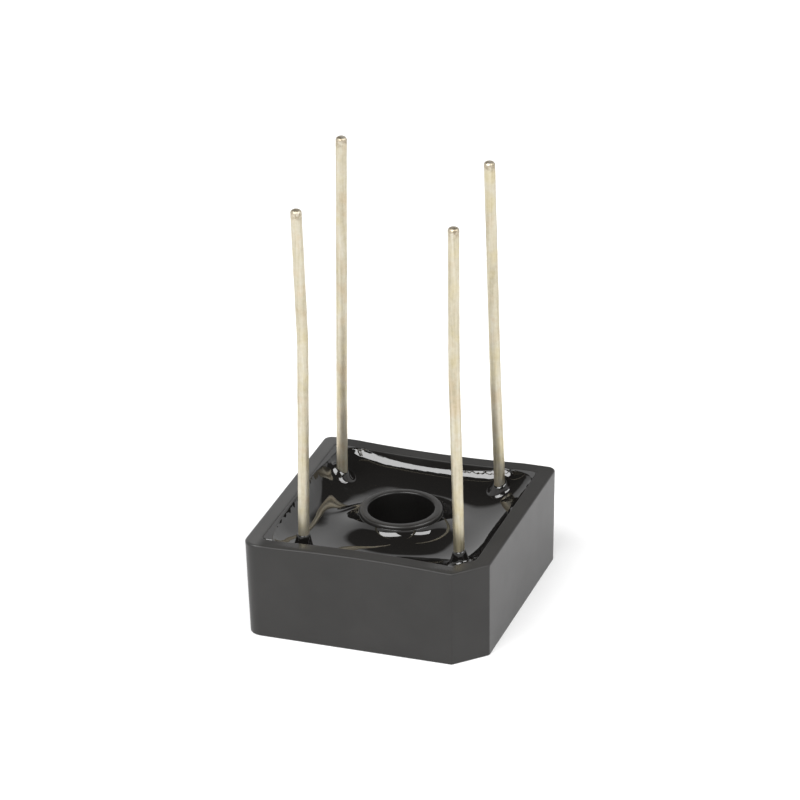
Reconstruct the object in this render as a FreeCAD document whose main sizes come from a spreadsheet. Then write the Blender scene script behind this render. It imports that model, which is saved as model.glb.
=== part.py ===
"""Small potted bridge rectifier: an open-topped moulded case with a screw tube,
four diode chips between copper strips, black potting resin and four tinned wire leads.

Millimetres. Origin: centre of the screw hole in the flat mounting face. +Z runs up the
leads, -Y is the front, and the chamfered corner that marks the positive lead is at +X, -Y.
"""

import FreeCAD, Part

import math
import os

import Sketcher

Vector = FreeCAD.Vector
Rotation = FreeCAD.Rotation
Placement = FreeCAD.Placement

doc = FreeCAD.newDocument("bridge_rectifier")
sheet = doc.addObject("Spreadsheet::Sheet", "Sizes")

# Sizes: name, millimetres or degrees, and what the value sets
SIZES = [
    ("case_side", 15.24, "side of the square case, across the rim"),
    ("case_height", 6.26, "mounting face to rim"),
    ("case_draft", 0.11, "how far each wall leans in at the bottom, for the mould"),
    ("corner_radius", 0.9, "radius of the three plain vertical corners"),
    ("chamfer_leg", 1.8, "leg of the chamfer that marks the positive corner"),
    ("wall_thickness", 1.0, "case wall at the rim"),
    ("floor_thickness", 1.0, "case floor"),
    ("cavity_radius", 0.3, "radius of the cavity's vertical corners"),
    ("rim_chamfer", 0.12, "chamfer on the outer edge of the tube's rim"),
    ("sink_front", 0.26, "how far the curing resin has drawn in the front wall at the rim"),
    ("sink_rear", 0.30, "the same at the rear wall"),
    ("sink_width", 11.0, "breadth of wall that is drawn in at the rim"),
    ("sink_start", 1.5, "height above which the walls are drawn in"),
    ("hole_radius", 2.05, "screw hole"),
    ("tube_wall", 0.52, "wall of the screw tube"),
    ("tube_drop", 0.18, "tube rim below the case rim"),
    ("mouth_chamfer", 0.12, "chamfer inside the tube's mouth"),
    ("lead_inset", 2.77, "from each side of the case to the two leads along it"),
    ("frame_turn", 5.0, "how far the lead frame sits turned in its case, in degrees"),
    ("lead_radius", 0.35, "wire lead"),
    ("tip_chamfer", 0.08, "broken edge of each cut tip"),
    ("head_radius", 0.7, "nail head on the lead's foot"),
    ("head_thickness", 0.35, "nail head"),
    ("exit_height", 6.1, "height, clear of the resin, at which a lead starts to lean"),
    ("bend_radius", 30.0, "radius of the slight bends in the leads"),
    ("strip_width", 1.7, "copper strip"),
    ("strip_thickness", 0.35, "copper strip"),
    ("strip_lift", 0.45, "resin between the case floor and the lower strips"),
    ("strip_overrun", 0.15, "strip beyond the chip's edge"),
    ("strip_round", 0.5, "outer corner of each bent strip"),
    ("chip_side", 1.5, "diode chip"),
    ("chip_thickness", 0.3, "diode chip"),
    ("preform_side", 1.3, "solder preform on each face of a chip"),
    ("solder_thickness", 0.1, "solder layer"),
    ("joint_spread", 0.15, "solder beyond the lead's head"),
    ("joint_climb", 0.25, "height to which solder climbs the head"),
    ("resin_level", 4.31, "level of the poured resin, were nothing near for it to hang from"),
    ("front_dish", 1.10, "height by which the cured resin hangs from the front wall"),
    ("front_dish_reach", 3.8, "distance over which that dies away"),
    ("rear_dish", 1.55, "the same at the rear wall"),
    ("rear_dish_reach", 1.5, "its reach"),
    ("left_dish", 1.25, "the same at the left wall"),
    ("left_dish_reach", 1.9, "its reach"),
    ("right_dish", 1.05, "the same at the right wall"),
    ("right_dish_reach", 1.8, "its reach"),
    ("tube_dish", 1.05, "the same at the screw tube"),
    ("tube_dish_reach", 0.92, "its reach"),
    ("hollow_x", -6.2, "middle of the hollow by the rear left lead, from the case's middle"),
    ("hollow_y", 2.5, "the same, towards the rear"),
    ("hollow_radius", 1.35, "size of that hollow"),
    ("hollow_depth", 0.3, "its depth"),
    ("collar_climb", 0.31, "height of the resin collar on each lead"),
    ("collar_spread", 0.5, "breadth of that collar"),
    ("collar_lip", 0.03, "thickness of the collar's upper edge round the wire"),
    ("collar_root", 0.5, "how deep the collar is rooted, past any slope of the surface"),
]

# Leads: corner bearing in degrees from +X, whether it stands on an upper strip, and how it is bent
LEADS = {
    "positive": {"bearing": 315, "upper": False, "shift": -0.03, "heading": 20.0,
                 "low_lean": -0.65, "high_lean": 0.6, "kink": 18.0, "tip": 27.5},
    "ac_rear": {"bearing": 45, "upper": True, "shift": 0.21, "heading": 20.0,
                "low_lean": -1.6, "high_lean": -0.85, "kink": 12.5, "tip": 27.55},
    "negative": {"bearing": 135, "upper": False, "shift": -0.09, "heading": 62.0,
                 "low_lean": -0.4, "high_lean": 1.7, "kink": 10.5, "tip": 28.2},
    "ac_front": {"bearing": 225, "upper": True, "shift": -0.01, "heading": 20.0,
                 "low_lean": 1.3, "high_lean": -1.1, "kink": 18.5, "tip": 27.75},
}
LEAD_NOTES = {
    "shift": "foot off the frame's corner, along its heading",
    "heading": "direction in which the lead leans, in degrees",
    "low_lean": "lean of the lower run, in degrees",
    "high_lean": "lean of the upper run, in degrees",
    "kink": "height at which the lean changes",
    "tip": "height of the cut tip",
}

# Chips: bearing of the middle of each side of the frame, in degrees from +X
CHIPS = {
    "front": 270,
    "right": 0,
    "rear": 90,
    "left": 180,
}

# Walls that the resin has drawn in: outward direction of each
SINKS = {
    "front": (0, -1),
    "rear": (0, 1),
}

sub_parts = []


def fill_sheet():
    """Writes every size into the sheet, one row each, with its name as the alias."""
    rows = list(SIZES)
    for lead, facts in LEADS.items():
        for key, note in LEAD_NOTES.items():
            rows.append((lead + "_" + key, facts[key], note))
    for number, (alias, value, note) in enumerate(rows, start=1):
        sheet.set("A%d" % number, note)
        sheet.set("B%d" % number, str(value))
        sheet.setAlias("B%d" % number, alias)
    doc.recompute()


def cell(alias):
    """The way an expression names a size."""
    return "<<Sizes>>." + alias


def size(alias):
    """A size as a plain number, for shapes worked out here."""
    return float(sheet.get(alias))


def bind(thing, **expressions):
    """Ties properties of an object to the sheet; two underscores stand for a dot."""
    for path, expression in expressions.items():
        thing.setExpression(path.replace("__", "."), expression)


def bind_constraint(sketch, name, index, expression):
    """Names a sketch's constraint and ties it to the sheet."""
    sketch.renameConstraint(index, name)
    sketch.setExpression("Constraints." + name, expression)


def new_body(name):
    """An empty body with a label of its own."""
    body = doc.addObject("PartDesign::Body", name)
    body.Label = name
    return body


def plane_of(body, role):
    """One of the body's own origin planes."""
    for feature in body.Origin.OriginFeatures:
        if feature.Role == role:
            return feature
    raise ValueError(role)


def new_sketch(body, name, role="XY_Plane", height=None):
    """A sketch on one of the body's planes, lifted off it by an expression."""
    sketch = body.newObject("Sketcher::SketchObject", name)
    sketch.AttachmentSupport = [(plane_of(body, role), "")]
    sketch.MapMode = "FlatFace"
    if height:
        bind(sketch, AttachmentOffset__Base__z=height)
    return sketch


def edges_where(shape, test):
    """Names of the shape's edges that pass a test, for a fillet."""
    return ["Edge%d" % (i + 1) for i, edge in enumerate(shape.Edges) if test(edge)]


def stands_upright(edge):
    """True for an edge that rises and doesn't lie flat."""
    low, high = sorted(vertex.Point.z for vertex in edge.Vertexes[:2])
    return high - low > 0.5 * size("case_height")


def keep(thing, name):
    """Marks an object as one of the real pieces."""
    thing.Label = name
    sub_parts.append(thing)
    return thing


# Case


def chamfered_square(body, name, height, half, leg):
    """A square about the hole's axis, at a height, with one corner cut across."""
    sketch = new_sketch(body, name, height=height)
    a = size("case_side") / 2
    c = size("chamfer_leg")
    corners = [(-a, -a), (a - c, -a), (a, c - a), (a, a), (-a, a)]
    lines = []
    for start, end in zip(corners, corners[1:] + corners[:1]):
        lines.append(sketch.addGeometry(Part.LineSegment(Vector(*start, 0), Vector(*end, 0))))
    for line, following in zip(lines, lines[1:] + lines[:1]):
        sketch.addConstraint(Sketcher.Constraint("Coincident", line, 2, following, 1))
    for line, direction in ((0, "Horizontal"), (2, "Vertical"), (3, "Horizontal"), (4, "Vertical")):
        sketch.addConstraint(Sketcher.Constraint(direction, lines[line]))
    placed = [
        ("left", Sketcher.Constraint("DistanceX", 0, 1, -1, 1, a), half),
        ("front", Sketcher.Constraint("DistanceY", 0, 1, -1, 1, a), half),
        ("right", Sketcher.Constraint("DistanceX", -1, 1, 3, 1, a), half),
        ("rear", Sketcher.Constraint("DistanceY", -1, 1, 3, 1, a), half),
        ("leg_across", Sketcher.Constraint("DistanceX", 1, 1, 1, 2, c), leg),
        ("leg_along", Sketcher.Constraint("DistanceY", 1, 1, 1, 2, c), leg),
    ]
    for label, constraint, expression in placed:
        bind_constraint(sketch, label, sketch.addConstraint(constraint), expression)
    return sketch


def moulded_block(name, low, half, leg, radius, round_chamfer):
    """A block as wide as half says at the rim, narrower below, with rounded upright corners."""
    body = new_body(name)
    outline = chamfered_square(body, name + "_outline", low, half, leg)
    pad = body.newObject("PartDesign::Pad", name + "_pad")
    pad.Profile = outline
    bind(pad, Length="%s - %s" % (cell("case_height"), low or "0"))
    doc.recompute()
    walls = []
    for number, face in enumerate(pad.Shape.Faces, start=1):
        facing = face.normalAt(0, 0).z
        if abs(facing) < 0.5:
            walls.append("Face%d" % number)
        elif facing > 0:
            rim = "Face%d" % number
    leaning = body.newObject("PartDesign::Draft", name + "_draft")
    leaning.Base = (pad, walls)
    leaning.NeutralPlane = (pad, [rim])
    leaning.Reversed = True
    bind(leaning, Angle="atan(%s / %s)" % (cell("case_draft"), cell("case_height")))
    doc.recompute()
    if leaning.Shape.Volume >= pad.Shape.Volume:
        raise RuntimeError(name + " widens downwards")

    def to_round(edge):
        middle = edge.CenterOfMass
        marked = middle.x > 0 > middle.y
        return stands_upright(edge) and (round_chamfer or not marked)

    corners = body.newObject("PartDesign::Fillet", name + "_corners")
    corners.Base = (leaning, edges_where(leaning.Shape, to_round))
    bind(corners, Radius=radius)
    body.Tip = corners
    return body


def sink_tools(block, thickness):
    """The shallow hollows that the resin pulls into a block's walls, as leaning cylinders.

    thickness is how far inside the outer face the block's own wall lies.
    """
    tools = []
    for wall, (across, along) in SINKS.items():
        depth = cell("sink_" + wall)
        radius = "%s * %s / (8 * %s)" % (cell("sink_width"), cell("sink_width"), depth)
        tool = doc.addObject("Part::Cylinder", "%s_sink_%s" % (block, wall))
        rise = "(%s - %s)" % (cell("case_height"), cell("sink_start"))
        lean = "(%s - %s * (1 - %s / %s))" % (
            depth, cell("case_draft"), cell("sink_start"), cell("case_height"))
        off_axis = "(%s / 2 + %s - %s + 2 * %s)" % (cell("case_side"), radius, depth, lean)
        tool.Placement.Rotation = Rotation(Vector(along, -across, 0), 1)
        bind(
            tool,
            Radius="%s + %s" % (radius, thickness),
            Height="4 * " + rise,
            Placement__Base__x="%d * %s" % (across, off_axis),
            Placement__Base__y="%d * %s" % (along, off_axis),
            Placement__Base__z="%s - 2 * %s" % (cell("case_height"), rise),
            Placement__Rotation__Angle="atan(%s / %s)" % (lean, rise),
        )
        tools.append(tool)
    return tools


def cut_away(name, base, tools):
    """The base with every tool taken out of it, one after the other."""
    for number, tool in enumerate(tools):
        step = doc.addObject("Part::Cut", "%s_%d" % (name, number + 1))
        step.Base = base
        step.Tool = tool
        base = step
    return base


def screw_tube():
    """The tube round the screw hole, turned about its axis, with both edges of its rim broken."""
    body = new_body("screw_tube")
    sketch = new_sketch(body, "tube_section", "XZ_Plane")
    inner = size("hole_radius")
    outer = inner + size("tube_wall")
    top = size("case_height") - size("tube_drop")
    bevel = size("mouth_chamfer")
    broken = size("rim_chamfer")
    points = [(inner, 0), (outer, 0), (outer, top - broken), (outer - broken, top),
              (inner + bevel, top), (inner, top - bevel)]
    for start, end in zip(points, points[1:] + points[:1]):
        sketch.addGeometry(Part.LineSegment(Vector(*start, 0), Vector(*end, 0)))
    for line in range(len(points)):
        following = (line + 1) % len(points)
        sketch.addConstraint(Sketcher.Constraint("Coincident", line, 2, following, 1))
    for line, direction in ((0, "Horizontal"), (1, "Vertical"), (3, "Horizontal"), (5, "Vertical")):
        sketch.addConstraint(Sketcher.Constraint(direction, line))
    sketch.addConstraint(Sketcher.Constraint("PointOnObject", 0, 1, -1))
    placed = [
        ("bore", Sketcher.Constraint("DistanceX", -1, 1, 0, 1, inner), cell("hole_radius")),
        ("wall", Sketcher.Constraint("DistanceX", 0, 1, 0, 2, outer - inner), cell("tube_wall")),
        ("rise", Sketcher.Constraint("DistanceY", -1, 1, 3, 1, top),
         cell("case_height") + " - " + cell("tube_drop")),
        ("bevel_across", Sketcher.Constraint("DistanceX", 4, 2, 4, 1, bevel), cell("mouth_chamfer")),
        ("bevel_down", Sketcher.Constraint("DistanceY", 4, 2, 4, 1, bevel), cell("mouth_chamfer")),
        ("broken_across", Sketcher.Constraint("DistanceX", 2, 2, 2, 1, broken), cell("rim_chamfer")),
        ("broken_down", Sketcher.Constraint("DistanceY", 2, 1, 2, 2, broken), cell("rim_chamfer")),
    ]
    for label, constraint, expression in placed:
        bind_constraint(sketch, label, sketch.addConstraint(constraint), expression)
    turned = body.newObject("PartDesign::Revolution", "tube_turned")
    turned.Profile = sketch
    turned.ReferenceAxis = (sketch, ["V_Axis"])
    turned.Angle = 360
    return body


def build_case():
    """The moulded cup: leaning walls, sinks, cavity and the screw tube through its floor."""
    inner_leg = "%s - %s * (2 - sqrt(2))" % (cell("chamfer_leg"), cell("wall_thickness"))
    outer_block = moulded_block(
        "outer_block", None, cell("case_side") + " / 2",
        cell("chamfer_leg"), cell("corner_radius"), False)
    cavity_block = moulded_block(
        "cavity_block", cell("floor_thickness"),
        "%s / 2 - %s" % (cell("case_side"), cell("wall_thickness")),
        inner_leg, cell("cavity_radius"), True)
    outside = cut_away("outside", outer_block, sink_tools("outer", "0"))
    inside = cut_away("inside", cavity_block, sink_tools("inner", cell("wall_thickness")))
    hole = doc.addObject("Part::Cylinder", "hole_form")
    bind(hole, Radius=cell("hole_radius"), Height=cell("case_height"))
    cup = cut_away("cup", outside, [inside, hole])
    tube = screw_tube()
    case = doc.addObject("Part::MultiFuse", "case")
    case.Shapes = [cup, tube]
    case.Refine = True
    keep(case, "case")
    return inside, tube


# Lead frame


def polar_place(thing, distance, bearing, height, facing=None):
    """Stands a piece at a bearing of the turned lead frame, at a height."""
    angle = "(%s + %d)" % (cell("frame_turn"), bearing)
    bind(
        thing,
        Placement__Base__x="%s * cos(%s * 1 deg)" % (distance, angle),
        Placement__Base__y="%s * sin(%s * 1 deg)" % (distance, angle),
        Placement__Base__z=height,
        Placement__Rotation__Angle="%s * 1 deg" % (facing or angle),
    )


LOWER_STRIP = "(%s + %s)" % (cell("floor_thickness"), cell("strip_lift"))
LOWER_TOP = "(%s + %s)" % (LOWER_STRIP, cell("strip_thickness"))
CHIP_BASE = "(%s + %s)" % (LOWER_TOP, cell("solder_thickness"))
CHIP_TOP = "(%s + %s)" % (CHIP_BASE, cell("chip_thickness"))
UPPER_STRIP = "(%s + %s)" % (CHIP_TOP, cell("solder_thickness"))
UPPER_TOP = "(%s + %s)" % (UPPER_STRIP, cell("strip_thickness"))
SIDE_DISTANCE = "(%s / 2 - %s)" % (cell("case_side"), cell("lead_inset"))
CORNER_DISTANCE = "(%s * sqrt(2))" % SIDE_DISTANCE


def build_strip(lead, facts):
    """A flat copper strip bent round one corner of the frame, an arm to each side's middle."""
    name = "strip_" + lead
    body = new_body(name)
    half = size("strip_width") / 2
    middle = size("case_side") / 2 - size("lead_inset")
    arm = middle + size("chip_side") / 2 + size("strip_overrun")
    sketch = new_sketch(body, name + "_outline")
    corners = [(-half, -half), (arm, -half), (arm, half), (half, half), (half, arm), (-half, arm)]
    for start, end in zip(corners, corners[1:] + corners[:1]):
        sketch.addGeometry(Part.LineSegment(Vector(*start, 0), Vector(*end, 0)))
    for line in range(len(corners)):
        following = (line + 1) % len(corners)
        sketch.addConstraint(Sketcher.Constraint("Coincident", line, 2, following, 1))
        direction = "Horizontal" if line % 2 == 0 else "Vertical"
        sketch.addConstraint(Sketcher.Constraint(direction, line))
    half_width = cell("strip_width") + " / 2"
    reach = "%s + %s / 2 + %s" % (SIDE_DISTANCE, cell("chip_side"), cell("strip_overrun"))
    placed = [
        ("outer_across", Sketcher.Constraint("DistanceX", 0, 1, -1, 1, half), half_width),
        ("outer_along", Sketcher.Constraint("DistanceY", 0, 1, -1, 1, half), half_width),
        ("inner_across", Sketcher.Constraint("DistanceX", -1, 1, 3, 2, half), half_width),
        ("inner_along", Sketcher.Constraint("DistanceY", -1, 1, 2, 2, half), half_width),
        ("arm_across", Sketcher.Constraint("DistanceX", -1, 1, 1, 1, arm), reach),
        ("arm_along", Sketcher.Constraint("DistanceY", -1, 1, 4, 2, arm), reach),
    ]
    for label, constraint, expression in placed:
        bind_constraint(sketch, label, sketch.addConstraint(constraint), expression)
    pad = body.newObject("PartDesign::Pad", name + "_pad")
    pad.Profile = sketch
    bind(pad, Length=cell("strip_thickness"))
    doc.recompute()

    def at_corner(edge):
        centre = edge.CenterOfMass
        upright = abs(edge.Vertexes[0].Point.z - edge.Vertexes[-1].Point.z) > 0.01
        return upright and centre.x < 0 and centre.y < 0

    rounded = body.newObject("PartDesign::Fillet", name + "_corner")
    rounded.Base = (pad, edges_where(pad.Shape, at_corner))
    bind(rounded, Radius=cell("strip_round"))
    body.Tip = rounded
    height = UPPER_STRIP if facts["upper"] else LOWER_STRIP
    facing = "(%s + %d)" % (cell("frame_turn"), facts["bearing"] - 225)
    polar_place(body, CORNER_DISTANCE, facts["bearing"], height, facing)
    return keep(body, name)


def square_slab(name, side, thickness, bearing, height):
    """A thin square plate centred on the middle of one side of the frame."""
    body = new_body(name)
    sketch = new_sketch(body, name + "_outline")
    a = size(side) / 2
    corners = [(-a, -a), (a, -a), (a, a), (-a, a)]
    for start, end in zip(corners, corners[1:] + corners[:1]):
        sketch.addGeometry(Part.LineSegment(Vector(*start, 0), Vector(*end, 0)))
    for line in range(4):
        sketch.addConstraint(Sketcher.Constraint("Coincident", line, 2, (line + 1) % 4, 1))
        direction = "Horizontal" if line % 2 == 0 else "Vertical"
        sketch.addConstraint(Sketcher.Constraint(direction, line))
    placed = [
        ("left", Sketcher.Constraint("DistanceX", 0, 1, -1, 1, a)),
        ("front", Sketcher.Constraint("DistanceY", 0, 1, -1, 1, a)),
        ("right", Sketcher.Constraint("DistanceX", -1, 1, 2, 1, a)),
        ("rear", Sketcher.Constraint("DistanceY", -1, 1, 2, 1, a)),
    ]
    for label, constraint in placed:
        bind_constraint(sketch, label, sketch.addConstraint(constraint), cell(side) + " / 2")
    pad = body.newObject("PartDesign::Pad", name + "_pad")
    pad.Profile = sketch
    bind(pad, Length=cell(thickness))
    polar_place(body, SIDE_DISTANCE, bearing, height)
    return keep(body, name)


def build_diodes():
    """Four silicon chips, each soldered between a lower and an upper strip."""
    pieces = []
    for side, bearing in CHIPS.items():
        pieces += [
            square_slab("diode_chip_" + side, "chip_side", "chip_thickness", bearing, CHIP_BASE),
            square_slab("solder_below_" + side, "preform_side", "solder_thickness", bearing, LOWER_TOP),
            square_slab("solder_above_" + side, "preform_side", "solder_thickness", bearing, CHIP_TOP),
        ]
    return pieces


def foot_place(thing, lead, facts, height):
    """Stands a piece on the lead's own axis: the frame's corner plus the lead's shift."""
    angle = "((%s + %d) * 1 deg)" % (cell("frame_turn"), facts["bearing"])
    heading = "(%s * 1 deg)" % cell(lead + "_heading")
    shift = cell(lead + "_shift")
    bind(
        thing,
        Placement__Base__x="%s * cos(%s) + %s * cos(%s)" % (CORNER_DISTANCE, angle, shift, heading),
        Placement__Base__y="%s * sin(%s) + %s * sin(%s)" % (CORNER_DISTANCE, angle, shift, heading),
        Placement__Base__z=height,
        Placement__Rotation__Angle=heading,
    )


def build_joint(lead, facts):
    """The solder under a lead's head, climbing its side."""
    name = "solder_joint_" + lead
    body = new_body(name)
    sketch = new_sketch(body, name + "_section", "XZ_Plane")
    head = size("head_radius")
    spread = size("joint_spread")
    layer = size("solder_thickness")
    climb = size("joint_climb")
    points = [(0, 0), (head + spread, 0), (head, layer + climb), (head, layer), (0, layer)]
    for start, end in zip(points, points[1:] + points[:1]):
        sketch.addGeometry(Part.LineSegment(Vector(*start, 0), Vector(*end, 0)))
    for line in range(5):
        sketch.addConstraint(Sketcher.Constraint("Coincident", line, 2, (line + 1) % 5, 1))
    for line, direction in ((0, "Horizontal"), (2, "Vertical"), (3, "Horizontal"), (4, "Vertical")):
        sketch.addConstraint(Sketcher.Constraint(direction, line))
    sketch.addConstraint(Sketcher.Constraint("Coincident", 0, 1, -1, 1))
    placed = [
        ("breadth", Sketcher.Constraint("DistanceX", 0, 1, 0, 2, head + spread),
         cell("head_radius") + " + " + cell("joint_spread")),
        ("head", Sketcher.Constraint("DistanceX", 3, 2, 3, 1, head), cell("head_radius")),
        ("layer", Sketcher.Constraint("DistanceY", 4, 2, 4, 1, layer), cell("solder_thickness")),
        ("climb", Sketcher.Constraint("DistanceY", 2, 2, 2, 1, climb), cell("joint_climb")),
    ]
    for label, constraint, expression in placed:
        bind_constraint(sketch, label, sketch.addConstraint(constraint), expression)
    turned = body.newObject("PartDesign::Revolution", name + "_turned")
    turned.Profile = sketch
    turned.ReferenceAxis = (sketch, ["V_Axis"])
    turned.Angle = 360
    foot_place(body, lead, facts, UPPER_TOP if facts["upper"] else LOWER_TOP)
    return keep(body, name)


def bent_path(sketch, lead, foot, foot_expression):
    """Three straight runs joined by two wide arcs: upright, lower lean, upper lean.

    Heights count from the lead's foot. The sheet's leans are positive towards the heading.
    """
    radius = size("bend_radius")
    leans = [0.0, math.radians(size(lead + "_low_lean")), math.radians(size(lead + "_high_lean"))]
    point = Vector(0, 0, 0)
    heights = [size("exit_height") - foot, size(lead + "_kink") - foot, size(lead + "_tip") - foot]
    ends = []
    previous = None
    for run, (lean, height) in enumerate(zip(leans, heights)):
        direction = Vector(math.sin(lean), math.cos(lean), 0)
        if previous is not None:
            turn = lean - leans[run - 1]
            side = 1 if turn > 0 else -1
            before = leans[run - 1]
            centre = point + Vector(math.cos(before), -math.sin(before), 0) * (side * radius)
            point = centre - Vector(math.cos(lean), -math.sin(lean), 0) * (side * radius)
            base = math.pi if side > 0 else 0.0
            first, last = sorted((base - before, base - lean))
            circle = Part.Circle(centre, Vector(0, 0, 1), radius)
            arc = sketch.addGeometry(Part.ArcOfCircle(circle, first, last))
            entry, leave = (2, 1) if side > 0 else (1, 2)
            sketch.addConstraint(Sketcher.Constraint("Tangent", previous, 2, arc, entry))
            index = sketch.addConstraint(Sketcher.Constraint("Radius", arc, radius))
            bind_constraint(sketch, "bend_%d" % run, index, cell("bend_radius"))
        end = point + direction * ((height - point.y) / direction.y)
        line = sketch.addGeometry(Part.LineSegment(point, end))
        if previous is None:
            sketch.addConstraint(Sketcher.Constraint("Coincident", line, 1, -1, 1))
            sketch.addConstraint(Sketcher.Constraint("Vertical", line))
        else:
            sketch.addConstraint(Sketcher.Constraint("Tangent", arc, leave, line, 1))
        ends.append(line)
        previous = line
        point = end
    for line, what in zip(ends, ("exit_height", lead + "_kink", lead + "_tip")):
        rise = sketch.getPoint(line, 2).y
        index = sketch.addConstraint(Sketcher.Constraint("DistanceY", -1, 1, line, 2, rise))
        bind_constraint(sketch, "rise_" + what, index, "%s - %s" % (cell(what), foot_expression))
    for line, what in zip(ends[1:], ("low_lean", "high_lean")):
        lean = math.radians(size("%s_%s" % (lead, what)))
        index = sketch.addConstraint(Sketcher.Constraint("Angle", line, math.pi / 2 - lean))
        expression = "(90 - %s) * 1 deg" % cell("%s_%s" % (lead, what))
        bind_constraint(sketch, what, index, expression)


def build_lead(lead, facts):
    """A tinned copper wire with a nail head, drawn along its slightly bent path."""
    name = "lead_" + lead
    body = new_body(name)
    top = UPPER_TOP if facts["upper"] else LOWER_TOP
    foot_expression = "(%s + %s)" % (top, cell("solder_thickness"))
    layers = ["floor_thickness", "strip_lift", "strip_thickness", "solder_thickness"]
    if facts["upper"]:
        layers += ["chip_thickness", "solder_thickness", "strip_thickness", "solder_thickness"]
    foot = sum(size(layer) for layer in layers)
    section = new_sketch(body, name + "_section")
    circle = section.addGeometry(Part.Circle(Vector(0, 0, 0), Vector(0, 0, 1), size("lead_radius")))
    section.addConstraint(Sketcher.Constraint("Coincident", circle, 3, -1, 1))
    index = section.addConstraint(Sketcher.Constraint("Radius", circle, size("lead_radius")))
    bind_constraint(section, "wire", index, cell("lead_radius"))
    path = new_sketch(body, name + "_path", "XZ_Plane")
    bent_path(path, lead, foot, foot_expression)
    wire = body.newObject("PartDesign::AdditivePipe", name + "_wire")
    wire.Profile = section
    wire.Spine = path
    doc.recompute()
    cut_face = max(wire.Shape.Faces, key=lambda face: face.CenterOfMass.z)
    ring = cut_face.Edges[0]
    tip = body.newObject("PartDesign::Chamfer", name + "_tip")
    tip.Base = (wire, edges_where(wire.Shape, ring.isSame))
    bind(tip, Size=cell("tip_chamfer"))
    disc = new_sketch(body, name + "_head_outline")
    circle = disc.addGeometry(Part.Circle(Vector(0, 0, 0), Vector(0, 0, 1), size("head_radius")))
    disc.addConstraint(Sketcher.Constraint("Coincident", circle, 3, -1, 1))
    index = disc.addConstraint(Sketcher.Constraint("Radius", circle, size("head_radius")))
    bind_constraint(disc, "head", index, cell("head_radius"))
    head = body.newObject("PartDesign::Pad", name + "_head")
    head.Profile = disc
    bind(head, Length=cell("head_thickness"))
    body.Tip = head
    foot_place(body, lead, facts, foot_expression)
    return keep(body, name)


# Potting resin


def dying_away(name, distance):
    """What is left of a named height at a distance from what the resin wets."""
    return size(name) * math.exp(-distance / size(name + "_reach"))


def resin_height(x, y):
    """Height of the cured resin's surface, which hangs from the walls and the screw tube."""
    wall = size("case_side") / 2 - size("wall_thickness")
    tube = size("hole_radius") + size("tube_wall")
    gaps = {"front": wall + y, "rear": wall - y, "left": wall + x, "right": wall - x}
    height = size("resin_level")
    for side, gap in gaps.items():
        height += dying_away(side + "_dish", gap)
    # Carried on inside the tube, so that the sheet has no crease where the resin meets it
    beyond = max(math.hypot(x, y) - tube, -tube / 2)
    height += dying_away("tube_dish", beyond)
    off_hollow = math.hypot(x - size("hollow_x"), y - size("hollow_y")) / size("hollow_radius")
    return height - size("hollow_depth") * math.exp(-off_hollow ** 2)


def resin_surface():
    """The meniscus as one smooth sheet over the whole cavity."""
    half = (size("case_side") - size("wall_thickness")) / 2
    steps = 28
    places = [half * (2 * step / steps - 1) for step in range(steps + 1)]
    rows = []
    for x in places:
        rows.append([Vector(x, y, resin_height(x, y)) for y in places])
    sheet_surface = Part.BSplineSurface()
    sheet_surface.interpolate(rows)
    return sheet_surface.toShape()


def resin_collar(lead):
    """The ring of resin that climbs a lead, hollow in section and rooted under the surface."""
    foot = doc.getObject("lead_" + lead).Placement.Base
    wire = size("lead_radius")
    lip = wire + size("collar_lip")
    spread = size("collar_spread")
    climb = size("collar_climb")
    level = resin_height(foot.x, foot.y)
    root = level - size("collar_root")
    steepness = 2
    section = [Vector(0, 0, root), Vector(lip + spread, 0, root)]
    steps = 2
    for step in range(steps + 1):
        share = step / steps
        section.append(Vector(lip + spread * (1 - share) ** steepness, 0, level + climb * share))
    section += [Vector(0, 0, level + climb), section[0]]
    ring = Part.Face(Part.makePolygon(section)).revolve(Vector(0, 0, 0), Vector(0, 0, 1), 360)
    ring.translate(Vector(foot.x, foot.y, 0))
    return ring


def build_resin(inside, tube, embedded):
    """The cavity filled up to the meniscus, with room for all that the resin holds."""
    below = doc.addObject("Part::Feature", "below_meniscus")
    below.Shape = resin_surface().extrude(Vector(0, 0, -2 * size("case_height")))
    filled = doc.addObject("Part::MultiCommon", "filled_cavity")
    filled.Shapes = [inside, below]
    collars = []
    for lead in LEADS:
        collar = doc.addObject("Part::Feature", "collar_" + lead)
        collar.Shape = resin_collar(lead)
        collars.append(collar)
    whole = doc.addObject("Part::MultiFuse", "resin_with_collars")
    whole.Shapes = [filled] + collars
    held = doc.addObject("Part::MultiFuse", "held_pieces")
    held.Shapes = [tube] + embedded
    bore = doc.addObject("Part::Cylinder", "tube_space")
    bind(bore, Radius="%s + %s" % (cell("hole_radius"), cell("tube_wall")), Height=cell("case_height"))
    resin = doc.addObject("Part::Cut", "potting_compound")
    resin.Base = cut_away("resin", whole, [bore])
    resin.Tool = held
    return keep(resin, "potting_compound")


def check_document():
    """Stops with a message if any object failed or any piece isn't a sound solid."""
    for thing in doc.Objects:
        if "Invalid" in thing.State or "Error" in thing.State:
            raise RuntimeError("%s failed: %s" % (thing.Name, thing.State))
    for thing in sub_parts:
        shape = thing.Shape
        if shape.isNull() or not shape.isValid():
            raise RuntimeError("%s has no sound shape" % thing.Label)
        print("%-26s solids %d  volume %9.4f  faces %d" % (
            thing.Label, len(shape.Solids), shape.Volume, len(shape.Faces)))


def write_parts():
    """Writes each piece to its own file."""
    os.makedirs("parts", exist_ok=True)
    for thing in sub_parts:
        thing.Shape.exportStep("parts/%s.step" % thing.Label)


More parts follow.
